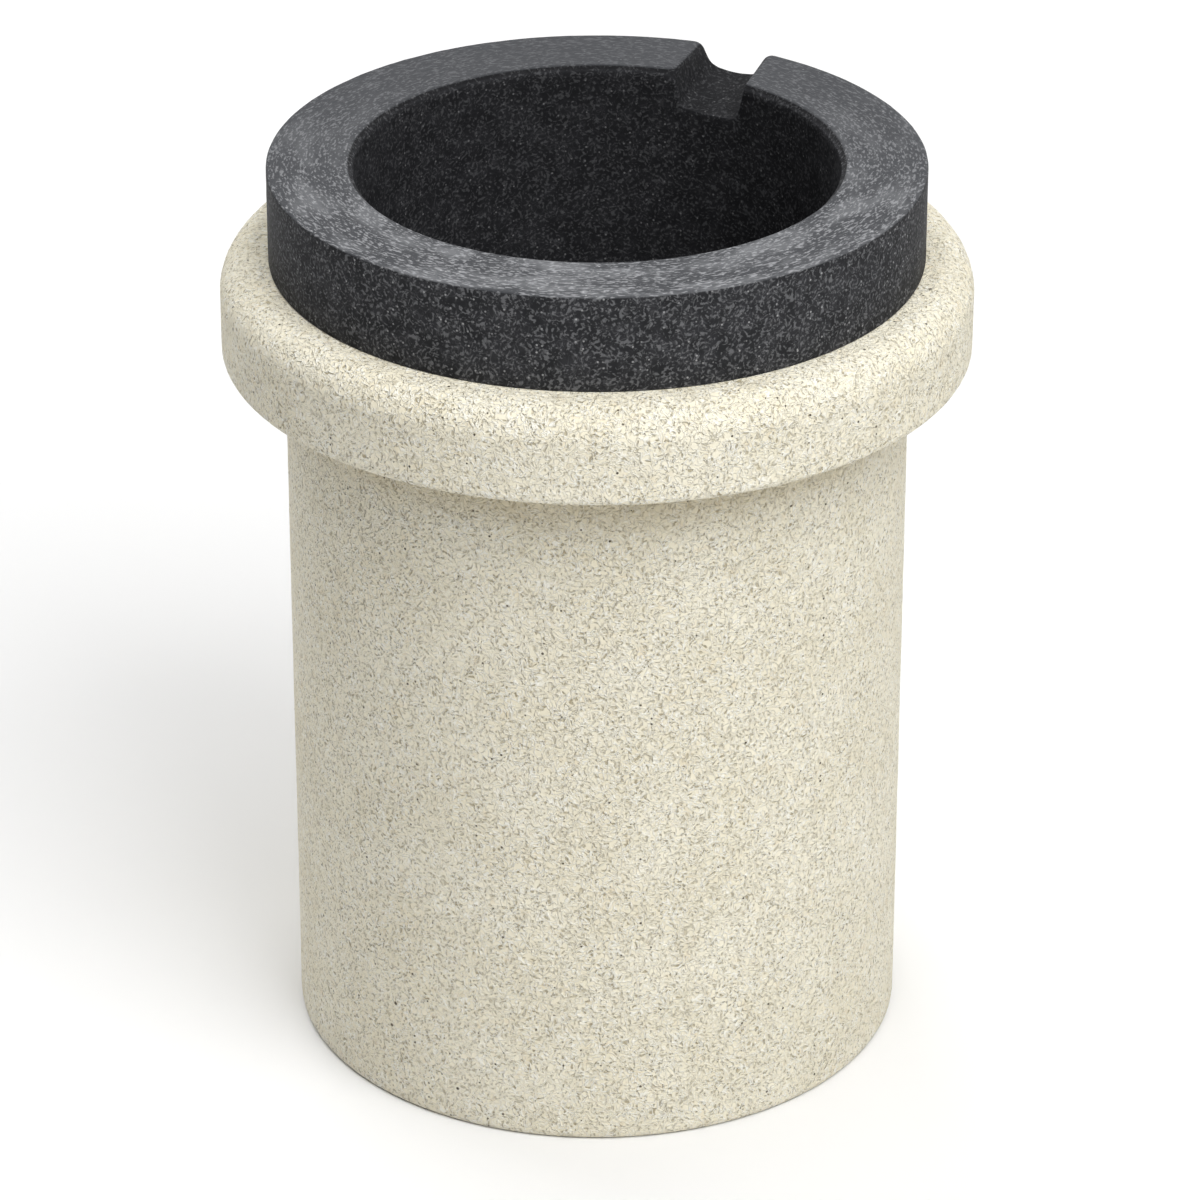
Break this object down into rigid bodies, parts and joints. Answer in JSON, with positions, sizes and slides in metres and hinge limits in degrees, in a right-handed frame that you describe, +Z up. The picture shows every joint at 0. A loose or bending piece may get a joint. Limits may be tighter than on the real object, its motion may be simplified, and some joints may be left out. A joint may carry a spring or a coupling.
{
  "type": "foundry crucible",
  "caption": "Small foundry crucible: a graphite melting cup with a notched pour spout, hanging by its collar in a flanged cast ceramic sleeve.",
  "frame": {"origin": "centre of the sleeve's flat base, on the surface it stands on", "axes": "+Z up along the bore, +Y towards the pour spout, +X to its right hand side seen from above with +Y ahead"},
  "size_m": [0.1012, 0.1012, 0.1272],
  "materials": {
    "graphite": "satin",
    "ceramic": "matte"
  },
  "bodies": {
    "root": {"graphite_crucible": "graphite", "ceramic_sleeve": "ceramic"}
  },
  "joints": []
}
